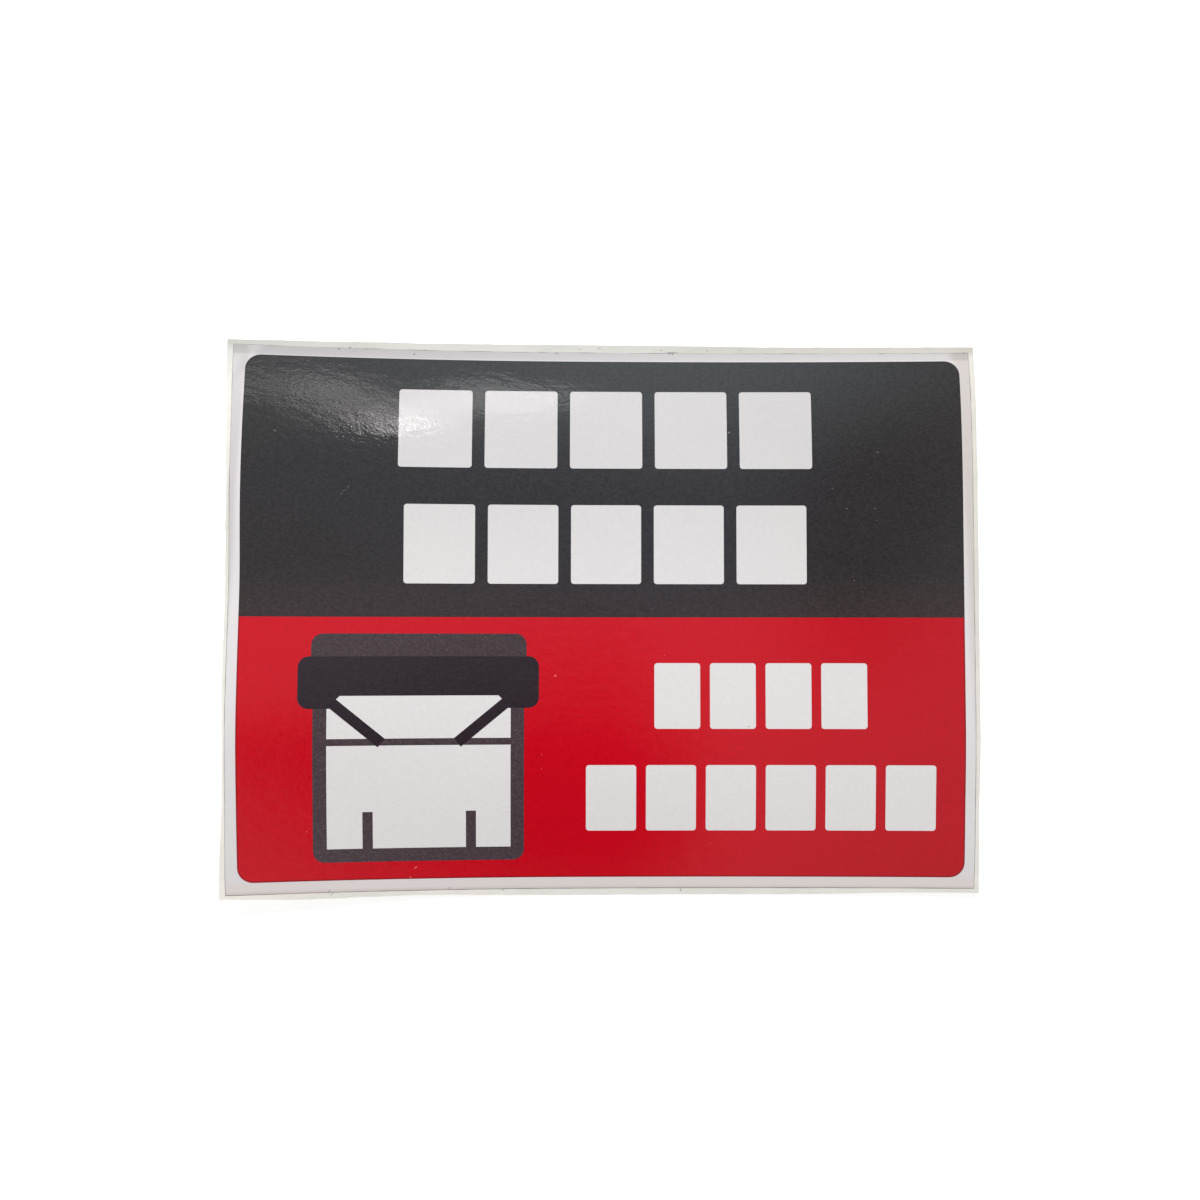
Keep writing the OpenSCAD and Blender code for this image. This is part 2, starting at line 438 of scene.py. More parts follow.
NICKS = (
    Mark(-69.0, 72.3, 0.9, 0.4, 30, 0.8),
    Mark(-71.8, 71.9, 0.6, 0.4, 60, 0.7),
    Mark(-64.7, 72.1, 0.5, 0.35, 0, 0.7),
    Mark(-67.7, 71.3, 0.3, 0.3, 0, 0.6),
    Mark(-51.9, 70.9, 0.35, 0.35),
    Mark(-49.2, 72.1, 0.5, 0.3, -20, 0.8),
    Mark(-13.5, 71.9, 1.2, 0.28, 4),
    Mark(-18.1, 72.1, 0.4, 0.3, 0, 0.8),
    Mark(17.4, 72.0, 0.8, 0.3, 60),
    Mark(18.1, 71.9, 0.8, 0.3, -55),
    Mark(18.0, 72.3, 3.8, 0.25, 1, 0.7),
    Mark(75.3, 71.9, 2.2, 0.28, -2),
    Mark(15.0, 72.9, 0.6, 0.35, 10, 0.6),
    Mark(27.6, 72.7, 0.5, 0.3, 0, 0.6),
    Mark(36.6, 73.0, 0.5, 0.3, 15, 0.5),
    Mark(-1.9, 73.4, 1.6, 0.5, 5, 0.3),
    Mark(-7.3, 73.1, 1.2, 0.4, -8, 0.3),
    Mark(97.3, 71.8, 0.8, 0.4, 20, 0.5),
    Mark(-72.8, -72.4, 1.1, 0.2, 60, 0.6),
    Mark(-72.1, -73.2, 1.1, 0.2, 35, 0.6),
    Mark(-27.2, -72.8, 1.2, 0.2, 50, 0.6),
    Mark(-41.5, -72.2, 0.4, 0.35, 0, 0.7),
    Mark(20.1, -73.0, 1.5, 0.22, -68, 0.7),
    Mark(38.0, -29.3, 0.4, 0.4, 0, 0.7),
)
LINT = (
    Mark(-87.4, 48.8, 0.6, 0.4, 20, 0.7),
    Mark(73.1, 44.3, 0.5, 0.4, 0, 0.7),
    Mark(60.9, 34.5, 0.4, 0.3, 0, 0.6),
    Mark(64.6, 29.1, 0.4, 0.3, 0, 0.7),
    Mark(72.3, 29.1, 0.4, 0.35, 0, 0.5),
    Mark(72.6, 25.9, 0.45, 0.3, 30, 0.6),
    Mark(66.5, 9.7, 0.35, 0.35, 0, 0.6),
    Mark(-68.3, 34.2, 1.1, 0.18, 50, 0.5),
    Mark(-69.3, 33.2, 1.2, 0.18, 20, 0.5),
    Mark(-69.9, 32.4, 0.9, 0.18, 80, 0.4),
    Mark(-50.3, -66.5, 0.9, 0.4, 30, 0.7),
    Mark(-51.7, -69.0, 0.5, 0.4, 0, 0.6),
    Mark(-17.1, -36.7, 0.3, 0.3, 0, 0.3),
    Mark(-17.1, -40.4, 0.3, 0.3, 0, 0.3),
)


class Effects:
    """The surface effects that several finishes share, each built once as a node group."""

    ragged = 0.35 * MM
    rim_from = 0.55 * MM
    rim_to = 0.15 * MM

    def __init__(self) -> None:
        """Builds the groups."""
        self.film = self._film_skin()
        self.dust = self._dust()
        self.mottle = self._mottle()
        self.nicks = self._marks("nicks", NICKS)
        self.lint = self._marks("lint", LINT)
        self.rim = self._rim()

    @staticmethod
    def _group(
        name: str, outputs: Iterable[str], inputs: dict[str, float] | None = None
    ) -> tuple[Wiring, bpy.types.Node, bpy.types.Node]:
        """Starts a group with its named sockets.

        Args:
            name: The group's name.
            outputs: Names of the values that it puts out.
            inputs: Names and usual values of what it takes.

        Returns:
            Its wiring, its input node and its output node.
        """
        tree = bpy.data.node_groups.new(name, "ShaderNodeTree")
        for title, usual in (inputs or {}).items():
            taken = tree.interface.new_socket(title, in_out="INPUT", socket_type="NodeSocketFloat")
            taken.default_value = usual
        for title in outputs:
            tree.interface.new_socket(title, in_out="OUTPUT", socket_type="NodeSocketFloat")
        wiring = Wiring(tree)
        return wiring, wiring.add("NodeGroupInput"), wiring.add("NodeGroupOutput")

    def _film_skin(self) -> bpy.types.NodeTree:
        """Builds the skin of calendered film: faint drawn-out ripples and a fine pebble."""
        w, taken, given = self._group("film skin", ["Height"], {"Ripple": 1.0, "Pebble": 1.0})
        drawn = w.place((2.2, 1, 1), math.radians(-9))
        ripple = w.noise(drawn, 480, 2.0, 0.5)
        fine = w.noise(w.place((1.5, 1, 1), math.radians(-20)), 1750, 2.0)
        pebble = w.noise(w.place(), 4200, 1.0)
        rippled = w.math("MULTIPLY", w.math("MULTIPLY_ADD", fine, 0.36, ripple), taken.outputs["Ripple"])
        pebbled = w.math("MULTIPLY", w.math("MULTIPLY", pebble, 0.06), taken.outputs["Pebble"])
        w.tree.links.new(w.math("ADD", rippled, pebbled), given.inputs["Height"])
        return w.tree

    def _dust(self) -> bpy.types.NodeTree:
        """Builds sparse small specks of dust and short lint."""
        w, taken, given = self._group("dust", ["Mask"], {"Amount": 1.0})
        masks = []
        for size, stretch, turn, share in ((150, 1.0, 0, 0.93), (95, 2.4, 35, 0.95), (320, 1.0, 0, 0.95)):
            where = w.place((stretch, 1, 1), math.radians(turn))
            cells = w.add("TexVoronoi", {"Vector": where, "Scale": size, "Randomness": 1.0})
            lot = w.add("SeparateColor", {"Color": cells.outputs["Color"]}).outputs[0]
            chosen = w.math("GREATER_THAN", lot, share)
            near = w.ramp(cells.outputs["Distance"], 0.055, 0.02)
            masks.append(w.math("MULTIPLY", chosen, near))
        both = w.math("MAXIMUM", w.math("MAXIMUM", masks[0], masks[1]), masks[2])
        w.tree.links.new(w.math("MULTIPLY", both, taken.outputs["Amount"]), given.inputs["Mask"])
        return w.tree

    def _marks(self, name: str, marks: Iterable[Mark]) -> bpy.types.NodeTree:
        """Builds single marks with ragged rims.

        Args:
            name: The group's name.
            marks: The marks.

        Returns:
            The group, which puts out their mask.
        """
        w, _, given = self._group(name, ["Mask"])
        where = w.place()
        shake = w.add("TexNoise", {"Vector": where, "Scale": 2600.0, "Detail": 2.0}).outputs["Color"]
        amount = (self.ragged, self.ragged, 0)
        moved = w.add("VectorMath", {0: shake, 1: amount, 2: where}, operation="MULTIPLY_ADD")
        mask = None
        for mark in marks:
            inputs = {
                "Vector": moved.outputs["Vector"],
                "Location": (mark.x * MM + self.ragged / 2, mark.y * MM + self.ragged / 2, 0),
                "Rotation": (0, 0, math.radians(mark.turn)),
                "Scale": (mark.length * MM / 2, mark.width * MM / 2, 1),
            }
            own = w.add("Mapping", inputs, vector_type="TEXTURE").outputs[0]
            away = w.add("VectorMath", {0: own}, operation="LENGTH").outputs["Value"]
            spot = w.math("MULTIPLY", w.ramp(away, 1.25, 0.65), mark.strength)
            mask = w.math("MAXIMUM", mask, spot) if mask else spot
        w.tree.links.new(mask, given.inputs["Mask"])
        return w.tree

    def _rim(self) -> bpy.types.NodeTree:
        """Builds the thin rim along the panel's outline, where two inks lie over each other."""
        w, _, given = self._group("panel rim", ["Mask"])
        away = w.add("VectorMath", {0: w.place()}, operation="ABSOLUTE").outputs["Vector"]
        inner = (PANEL[0] / 2 - PANEL_CORNER, PANEL[1] / 2 - PANEL_CORNER, 1.0)
        past_inner = w.add("VectorMath", {0: away, 1: inner}, operation="SUBTRACT").outputs["Vector"]
        corner = w.add("VectorMath", {0: past_inner, 1: (0, 0, 0)}, operation="MAXIMUM").outputs["Vector"]
        reach = w.add("VectorMath", {0: corner}, operation="LENGTH").outputs["Value"]
        mask = w.ramp(reach, PANEL_CORNER - self.rim_from, PANEL_CORNER - self.rim_to)
        w.tree.links.new(mask, given.inputs["Mask"])
        return w.tree

    def _mottle(self) -> bpy.types.NodeTree:
        """Builds the uneven laydown of ink: broad clouds and a fine grain."""
        w, _, given = self._group("ink mottle", ["Cloud", "Grain"])
        cloud = w.noise(w.place((1.6, 1, 1)), 26, 4.0)
        grain = w.noise(w.place((1.3, 1, 1)), 1300, 2.0, 0.7)
        w.tree.links.new(w.ramp(cloud, 0.3, 0.7), given.inputs["Cloud"])
        w.tree.links.new(w.ramp(grain, 0.3, 0.7), given.inputs["Grain"])
        return w.tree


# Finishes


@dataclass(frozen=True)
class GlossPrint:
    """Glossy film, bare or printed.

    The colour drifts between deep and worn in broad clouds, and a fine grain lies over it. The
    peel glints are painted highlights: lighter specks for the light caught on orange peel. The
    inner fades act inside the panel's rim, and the others over the whole sheet; they paint
    light and shade by place, and some darken cut edges.
    """

    name: str
    slot: str
    deep: Colour
    worn: Colour
    speck: Colour
    grain: float = 0.12
    roughness: float = 0.068
    ripple: float = 0.9
    pebble: float = 1.0
    relief: float = 0.03 * MM
    gloss: float = 0.5
    dust: float = 1.0
    peel_glints: float = 0.0
    peel_glint_colour: Colour = (0.0, 0.0, 0.0)
    nick: Colour = linear(70, 62, 60)
    rim: Colour | None = None
    inner_fades: tuple[Fade, ...] = ()
    fades: tuple[Fade, ...] = ()

    def make(self, effects: Effects) -> bpy.types.Material:
        """Builds the material.

        Args:
            effects: The shared node groups.

        Returns:
            The material.
        """
        material = bpy.data.materials.new(self.name)
        material.use_nodes = True
        w = Wiring(material.node_tree)
        shader = material.node_tree.nodes["Principled BSDF"]
        mottle = w.add("Group", node_tree=effects.mottle)
        colour = w.mix(mottle.outputs["Cloud"], self.deep, self.worn)
        dark = tuple(c * (1 - self.grain) for c in self.deep)
        pale = tuple(c * (1 + self.grain) + 0.002 * self.grain for c in self.worn)
        fine = w.mix(mottle.outputs["Grain"], dark, pale)
        colour = w.mix(0.5, colour, fine)
        # Painted highlights: lighter specks stand for glints on the orange-peel surface.
        if self.peel_glints > 0:
            peel = w.noise(w.place((1.3, 1, 1), math.radians(30)), 2300, 2.0, 0.6)
            share = w.math("MULTIPLY", w.ramp(peel, 0.54, 0.72), self.peel_glints)
            colour = w.mix(share, colour, self.peel_glint_colour)
        # Painted shade by place inside the panel, from the inner fades.
        for fade in self.inner_fades:
            colour = fade.over(w, colour)
        if self.rim:
            colour = w.mix(w.add("Group", node_tree=effects.rim).outputs["Mask"], colour, self.rim)
        # Painted light and shade by place over the sheet, and darker cut edges, from the fades.
        for fade in self.fades:
            colour = fade.over(w, colour)
        specks = w.add("Group", {"Amount": self.dust}, node_tree=effects.dust)
        colour = w.mix(specks.outputs["Mask"], colour, self.speck)
        colour = w.mix(w.add("Group", node_tree=effects.lint).outputs["Mask"], colour, self.speck)
        colour = w.mix(w.add("Group", node_tree=effects.nicks).outputs["Mask"], colour, self.nick)
        skin = w.add("Group", {"Ripple": self.ripple, "Pebble": self.pebble}, node_tree=effects.film)
        bump = w.add("Bump", {"Height": skin.outputs["Height"], "Strength": 1.0, "Distance": self.relief})
        worn_gloss = w.math("MULTIPLY_ADD", mottle.outputs["Cloud"], 0.02, self.roughness)
        matte = w.math("MULTIPLY_ADD", specks.outputs["Mask"], 0.4, worn_gloss)
        w.tree.links.new(colour, shader.inputs["Base Color"])
        w.tree.links.new(matte, shader.inputs["Roughness"])
        w.tree.links.new(bump.outputs["Normal"], shader.inputs["Normal"])
        shader.inputs["IOR"].default_value = 1.47
        shader.inputs["Specular IOR Level"].default_value = self.gloss
        return material


@dataclass(frozen=True)
class CoatedPaper:
    """Silicone-coated release paper: satin, faintly fibrous, with a little handling dirt.

    Its fades are painted shade along the top and the right, and painted light towards the bottom and the
    left.
    """

    name: str = "release paper"
    slot: str = "liner_paper"
    clean: Colour = linear(218, 216, 209)
    aged: Colour = linear(205, 204, 195)
    grime: Colour = linear(96, 88, 80)
    roughness: float = 0.42
    fades: tuple[Fade, ...] = (
        # Painted shade: the top strip darker.
        Fade((0, 1), 70 * MM, 72.5 * MM, (0.77, 0.76, 0.74)),
        # Painted shade: darker towards the top.
        Fade((-0.05, 1), 64 * MM, 77.5 * MM, (0.8, 0.81, 0.82)),
        # Painted shade: the right strip a little darker and warmer.
        Fade((1, 0.05), 97 * MM, 101 * MM, (0.97, 0.95, 0.94)),
        # Painted light: lighter towards the bottom.
        Fade((0, -1), -20 * MM, 70 * MM, (1.16, 1.14, 1.14)),
        # Painted light: lighter towards the left.
        Fade((-1, -0.2), 80 * MM, 115 * MM, (1.09, 1.07, 1.06)),
    )

    def make(self, effects: Effects) -> bpy.types.Material:
        """Builds the material from the shared node groups and returns it."""
        material = bpy.data.materials.new(self.name)
        material.use_nodes = True
        w = Wiring(material.node_tree)
        shader = material.node_tree.nodes["Principled BSDF"]
        cloud = w.ramp(w.noise(w.place((2.0, 1, 1)), 60, 5.0, 0.6), 0.3, 0.7)
        fibre = w.ramp(w.noise(w.place((4.0, 1, 1), math.radians(12)), 700, 3.0), 0.35, 0.7)
        share = w.math("MULTIPLY_ADD", fibre, 0.35, w.math("MULTIPLY", cloud, 0.65))
        colour = w.mix(share, self.clean, self.aged)
        specks = w.add("Group", {"Amount": 0.35}, node_tree=effects.dust)
        colour = w.mix(specks.outputs["Mask"], colour, linear(150, 142, 130))
        # Painted shade and painted light by place, from the fades.
        for fade in self.fades:
            colour = fade.over(w, colour)
        colour = w.mix(w.add("Group", node_tree=effects.nicks).outputs["Mask"], colour, self.grime)
        bump = w.add("Bump", {"Height": fibre, "Strength": 1.0, "Distance": 0.004 * MM})
        w.tree.links.new(colour, shader.inputs["Base Color"])
        w.tree.links.new(bump.outputs["Normal"], shader.inputs["Normal"])
        w.tree.links.new(w.math("MULTIPLY_ADD", cloud, 0.1, self.roughness), shader.inputs["Roughness"])
        return material


@dataclass(frozen=True)
class Adhesive:
    """The adhesive that shows along the cut, grey with the dust it has caught."""

    name: str = "dusty adhesive"
    slot: str = "white_film"
    dusty: Colour = linear(106, 99, 96)
    clear: Colour = linear(164, 156, 152)
    roughness: float = 0.6

    def make(self) -> bpy.types.Material:
        """Builds the material and returns it."""
        material = bpy.data.materials.new(self.name)
        material.use_nodes = True
        w = Wiring(material.node_tree)
        shader = material.node_tree.nodes["Principled BSDF"]
        patch = w.ramp(w.noise(w.place(), 110, 4.0, 0.6), 0.38, 0.62)
        w.tree.links.new(w.mix(patch, self.dusty, self.clear), shader.inputs["Base Color"])
        shader.inputs["Roughness"].default_value = self.roughness
        return material


@dataclass(frozen=True)
class StudioFloor:
    """A plain white floor, faintly lit from within as a light table is."""

    name: str = "studio floor"
    colour: Colour = (0.93, 0.93, 0.93)
    glow: float = 0.45

    def make(self) -> bpy.types.Material:
        """Builds the material and returns it."""
        material = bpy.data.materials.new(self.name)
        material.use_nodes = True
        w = Wiring(material.node_tree)
        shader = material.node_tree.nodes["Principled BSDF"]
        tooth = w.noise(w.place(), 40, 3.0)
        shade = w.mix(tooth, self.colour, tuple(c * 1.02 for c in self.colour))
        w.tree.links.new(shade, shader.inputs["Base Color"])
        shader.inputs["Roughness"].default_value = 0.9
        shader.inputs["Specular IOR Level"].default_value = 0.0
        shader.inputs["Emission Color"].default_value = (1, 1, 1, 1)
        shader.inputs["Emission Strength"].default_value = self.glow
        return material


BLACK_INK = GlossPrint(
    "black print",
    "black_ink",
    deep=linear(37, 35, 36),
    worn=linear(43, 40, 41),
    speck=linear(120, 112, 110),
    grain=0.3,
    # Painted reflection: the black is lighter and warmer towards the split with the red field.
    fades=(Fade((0, -1), -17 * MM, -1 * MM, (1.5, 1.15, 1.17)),),
)
RED_INK = GlossPrint(
    "red print",
    "red_ink",
    deep=linear(187, 1, 23),
    worn=linear(193, 4, 26),
    speck=linear(226, 120, 124),
    grain=0.06,
    dust=0.7,
    nick=linear(120, 10, 22),
    rim=linear(142, 8, 20),
    # Painted shade: the red grows darker towards the right end.
    fades=(Fade((1, 0), 20 * MM, 95 * MM, (0.87, 1.0, 0.95)),),
)
GREY_INK = GlossPrint(
    "dark grey print",
    "grey_ink",
    deep=linear(60, 49, 53),
    worn=linear(65, 53, 57),
    speck=linear(150, 140, 134),
    grain=0.25,
    # Painted highlights: glints on the orange-peel surface, as lighter specks.
    peel_glints=0.45,
    peel_glint_colour=linear(98, 86, 84),
    # Painted light: lighter and cooler over the lower part of the case.
    fades=(Fade((0, -1), 20 * MM, 32 * MM, (1.2, 1.2, 1.24)),),
)
DARK_INK = GlossPrint(
    "near-black print",
    "dark_ink",
    deep=linear(37, 29, 37),
    worn=linear(43, 33, 39),
    speck=linear(110, 100, 100),
    grain=0.2,
    dust=0.5,
)
WHITE_FILM = GlossPrint(
    "white film",
    "white_film",
    deep=linear(214, 210, 210),
    worn=linear(218, 214, 213),
    speck=linear(176, 168, 166),
    grain=0.02,
    dust=0.5,
    rim=linear(216, 211, 211),
    # Painted shade: the open windows darken towards the top of the print.
    inner_fades=(Fade((0, 1), -10 * MM, 75 * MM, (0.75, 0.755, 0.755)),),
    fades=(
        # Painted shade: the top border darker.
        Fade((0, 1), 69.4 * MM, 70 * MM, (0.84, 0.83, 0.83)),
        # Painted shade: darker still towards the top edge.
        Fade((-0.03, 1), 64 * MM, 77.5 * MM, (0.61, 0.62, 0.62)),
        # Darker along the left cut edge.
        Fade((-1, 0.05), 97.2 * MM, 99.5 * MM, (0.78, 0.78, 0.78)),
        # Painted light: the raised top-left corner lighter.
        Fade((-0.707, 0.707), 114 * MM, 118 * MM, (1.28, 1.29, 1.28)),
        # Painted shade: the right border darker and warmer.
        Fade((1, 0.05), 95.6 * MM, 99 * MM, (0.8, 0.78, 0.74)),
        # Painted shade: the bottom border warmer and a little darker.
        Fade((0, -1), 69.4 * MM, 70 * MM, (1.0, 0.965, 0.94)),
        # Darker and browner along the bottom cut edge.
        Fade((0, -1), 71.6 * MM, 72.4 * MM, (0.9, 0.865, 0.85)),
    ),
)


# Sub-assemblies


@dataclass
class Layer:
    """What every layer of the sheet shares: its curl, its cells and how it is finished off."""

    curl: Curl
    effects: Effects
    cell: float = 2.4 * MM
    reach: float = 2 * MM

    def finish(
        self, piece: bpy.types.Object, material: bpy.types.Material, slot: str, node: str | None
    ) -> None:
        """Lays a flat piece on the curl, dresses it and puts it in the frame.

        Args:
            piece: The flat piece.
            material: Its finish.
            slot: The record's slot that the finish stands for.
            node: The solid that it stands for, if any.
        """
        self.curl.bend(piece)
        smooth(piece)
        piece.data.materials.clear()
        piece.data.materials.append(material)
        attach(piece, BODY)
        if node:
            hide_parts(node)
        LOG.info("%s: %d faces, slot %s", piece.name, len(piece.data.polygons), slot)


@dataclass
class ReleaseLiner(Layer):
    """The paper that the sticker is kept on, cut by hand a little larger than the film."""

    width: float = 199.8 * MM
    height: float = 148.6 * MM
    thickness: float = 0.16 * MM
    top_fall: float = 0.8 * MM
    bottom_rise: float = 0.5 * MM
    left_waist: float = 0.6 * MM
    right_waist: float = 0.3 * MM
    waver: float = 0.14 * MM
    left_bulges: tuple[Bulge, ...] = (
        Bulge(0, 0.1, -0.6 * MM),
        Bulge(0.24, 0.1, 0.42 * MM),
        Bulge(0.72, 0.05, 0.2 * MM),
        Bulge(1, 0.12, -0.75 * MM),
    )
    right_bulges: tuple[Bulge, ...] = (Bulge(0.12, 0.12, -0.3 * MM), Bulge(0.57, 0.06, 0.12 * MM))
    low_bulges: tuple[Bulge, ...] = (
        Bulge(0.1, 0.06, 0.45 * MM),
        Bulge(0.28, 0.06, -0.2 * MM),
        Bulge(0.47, 0.06, 0.15 * MM),
        Bulge(0.92, 0.1, -0.4 * MM),
    )
    high_bulges: tuple[Bulge, ...] = (Bulge(0.2, 0.1, -0.08 * MM), Bulge(0.76, 0.14, 0.32 * MM))

    def _cut_edge(self, start: Point, end: Point, bow: Point, seed: int, bulges: tuple[Bulge, ...]) -> Edge:
        """Returns one cut edge of the liner."""
        return Edge(start, end, bow, self.waver, seed=seed, bulges=bulges)

    def build(self) -> None:
        """Builds the liner and dresses it."""
        x, high, low = self.width / 2, self.height / 2 - self.top_fall, self.bottom_rise - self.height / 2
        outline = FourSided(
            left=self._cut_edge((-x, low), (-x, high), (self.left_waist, 0), 1, self.left_bulges),
            right=self._cut_edge((x, low), (x, high), (-self.right_waist, 0), 2, self.right_bulges),
            bottom=self._cut_edge((-x, low), (x, low), (0, -self.bottom_rise), 3, self.low_bulges),
            top=self._cut_edge((-x, high), (x, high), (0, self.top_fall), 4, self.high_bulges),
        )
        size = (self.width, self.height)
        liner = add_slab("release_paper", size, (0, 0), 0, self.thickness, self.cell / 2)
        outline.shape(liner, size)
        finish = CoatedPaper()
        self.finish(liner, finish.make(self.effects), finish.slot, "release_liner")


@dataclass
class Film(Layer):
    """The white film with its adhesive, cut out round the print with a blade."""

    panel: Point = PANEL
    left: float = 2.6 * MM
    right: float = 2.6 * MM
    top_left: float = 2.6 * MM
    top_right: float = 2.25 * MM
    bottom_left: float = 3.1 * MM
    bottom_right: float = 2.9 * MM
    z: float = 0.16 * MM
    thickness: float = 0.12 * MM
    adhesive_t: float = 0.03 * MM
    squeeze: float = 0.16 * MM
    left_bulges: tuple[Bulge, ...] = (Bulge(0, 0.12, -0.4 * MM), Bulge(1, 0.12, -0.55 * MM))

    def outline(self, grow: float, waver: float, seed: float) -> FourSided:
        """Returns the cut outline.

        Args:
            grow: How far it stands out all round.
            waver: How much its edges wander.
            seed: Which wandering it gets.
        """
        west, east = -self.panel[0] / 2 - self.left - grow, self.panel[0] / 2 + self.right + grow
        up, down = self.panel[1] / 2 + grow, -self.panel[1] / 2 - grow
        sw, se = (west, down - self.bottom_left), (east, down - self.bottom_right)
        nw, ne = (west, up + self.top_left), (east, up + self.top_right)
        edges = ((sw, nw), (se, ne), (sw, se), (nw, ne))
        left, right, bottom, top = (
            Edge(a, b, waver=waver, wave=14 * MM, seed=seed + i, bulges=self.left_bulges if i == 0 else ())
            for i, (a, b) in enumerate(edges)
        )
        return FourSided(left, right, bottom, top)

    def build(self) -> None:
        """Builds the adhesive and the film, and dresses them."""
        size = (self.panel[0] + self.left + self.right, self.panel[1] + self.top_left + self.bottom_left)
        glue = add_slab("adhesive_edge", size, (0, 0), self.z, self.adhesive_t, self.cell)
        self.outline(self.squeeze, 0.08 * MM, 21).shape(glue, size)
        sticky = Adhesive()
        self.finish(glue, sticky.make(), sticky.slot, None)
        face_t = self.thickness - self.adhesive_t
        face = add_slab("white_film", size, (0, 0), self.z + self.adhesive_t, face_t, self.cell)
        self.outline(0, 0.03 * MM, 11).shape(face, size)
        self.finish(face, WHITE_FILM.make(self.effects), WHITE_FILM.slot, "vinyl_film")


@dataclass
class SwitchFigure(Layer):
    """The printed figure of a switch: a case with a cap, a line and two slots, and its handle."""

    middle: float = -49.2 * MM
    top: float = -4.6 * MM
    cap: Point = (56.1 * MM, 6 * MM)
    case: Point = (54.9 * MM, 40.4 * MM)
    wall: float = 3.55 * MM
    case_r: float = 3 * MM
    bar: Point = (62.7 * MM, 13.7 * MM)
    bar_r: float = 2.8 * MM
    notch_h: float = 3.35 * MM
    notch_w: float = 41.3 * MM
    notch_corner: float = 0.9 * MM
    arm_w: float = 2.9 * MM
    arm_drop: float = 11.3 * MM
    feet_gap: float = 17.9 * MM
    line_h: float = 1.8 * MM
    line_down: float = 7.9 * MM
    slot_w: float = 2.65 * MM
    slot_h: float = 9.7 * MM
    slot_gap: float = 26.9 * MM
    z: float = 0.28 * MM
    ink_t: float = 0.02 * MM

    @property
    def bar_bottom(self) -> float:
        """Height of the underside of the bar on the print."""
        return self.top - self.cap[1] - self.bar[1]

    @property
    def bottom(self) -> float:
        """Height of the bottom of the case on the print."""
        return self.bar_bottom - self.case[1]

    def _box(self, size: Point, x: float, bottom: float, radius: float = 0.0) -> bpy.types.Object:
        """Adds a cutter by its size, its distance from the middle, its bottom and its corners."""
        middle = (self.middle + x, bottom + size[1] / 2)
        return add_block("figure_cutter", size, middle, radius, self.reach)

    def case_block(self) -> bpy.types.Object:
        """Returns the whole case, with its cap, as one cutter."""
        body = self._box((self.case[0], self.case[1] + 5 * MM), 0, self.bottom, self.case_r)
        bar_top = self.bar_bottom + self.bar[1]
        cap = self._box((self.cap[0], self.cap[1] + 5 * MM), 0, bar_top - 5 * MM, self.case_r)
        return join([body, cap])

    def bar_block(self) -> bpy.types.Object:
        """Returns the bar of the handle, with no window, as a cutter."""
        return self._box(self.bar, 0, self.bar_bottom, self.bar_r)

    def handle_block(self) -> bpy.types.Object:
        """Returns the handle with its arms and its window, as a cutter."""
        notch_top = self.bar_bottom + self.notch_h
        arm_top = Vector((self.notch_w / 2 + self.notch_corner, notch_top - self.notch_corner))
        run = Vector((self.feet_gap / 2, notch_top - self.arm_drop)) - arm_top
        across = Vector((-run.y, run.x)).normalized()
        root, foot = arm_top - 0.2 * run, arm_top + run
        handle = self.bar_block()
        for side in (1, -1):
            middle = (root + foot) / 2 + across * (self.arm_w / 2)
            arm = add_block("arm", (self.arm_w, (foot - root).length), (0, 0), 0, self.reach)
            arm.rotation_euler.z = side * (math.atan2(run.y, run.x) - math.pi / 2)
            arm.location = (self.middle + side * middle.x, middle.y, 0)
            settle(arm)
            cut(handle, arm, Cut.JOIN)
        cut(handle, self._notch_block(arm_top, run, notch_top), Cut.OPEN_UP)
        return handle

    def _notch_block(self, arm_top: Vector, run: Vector, notch_top: float) -> bpy.types.Object:
        """Returns the window between the arms as a cutter.

        Args:
            arm_top: Where the inner edge of the right arm starts, from the middle.
            run: The way from there to its foot.
            notch_top: Height of the top of the window.
        """
        past_foot = arm_top + run * 1.02
        size = (2 * arm_top.x, arm_top.y - past_foot.y)
        notch = self._box(size, 0, past_foot.y)
        for vertex in notch.data.vertices:
            if vertex.co.y < arm_top.y - size[1] / 2:
                vertex.co.x = self.middle + math.copysign(past_foot.x, vertex.co.x - self.middle)
        lip = self._box((2 * arm_top.x, notch_top - arm_top.y), 0, arm_top.y)
        for vertex in lip.data.vertices:
            if vertex.co.y > arm_top.y + self.notch_corner / 2:
                vertex.co.x = self.middle + math.copysign(self.notch_w / 2, vertex.co.x - self.middle)
        cut(notch, lip, Cut.JOIN)
        return notch

    def _slab(self, name: str, size: Point, x: float, bottom: float) -> bpy.types.Object:
        """Adds a layer of ink over a box of the figure, with a cell to spare all round."""
        size_out = (size[0] + 2 * self.cell, size[1] + 2 * self.cell)
        middle = (self.middle + x, bottom + size[1] / 2)
        return add_slab(name, size_out, middle, self.z, self.ink_t, self.cell)

    def build(self) -> None:
        """Builds the case and the handle, and dresses them."""
        handle = self.handle_block()
        case = self._slab("case_print", (self.cap[0], self.top - self.bottom), 0, self.bottom)
        cut(case, self.case_block_with_lines(), Cut.KEEP_INSIDE)
        cut(case, handle, Cut.OPEN_UP, keep=True)
        low = self.bar_bottom - self.arm_drop
        grip = self._slab("handle_print", (self.bar[0], self.bar_bottom + self.bar[1] - low), 0, low)
        cut(grip, handle, Cut.KEEP_INSIDE)
        self.finish(case, GREY_INK.make(self.effects), GREY_INK.slot, "switch_case_print")
        self.finish(grip, DARK_INK.make(self.effects), DARK_INK.slot, "switch_handle_print")

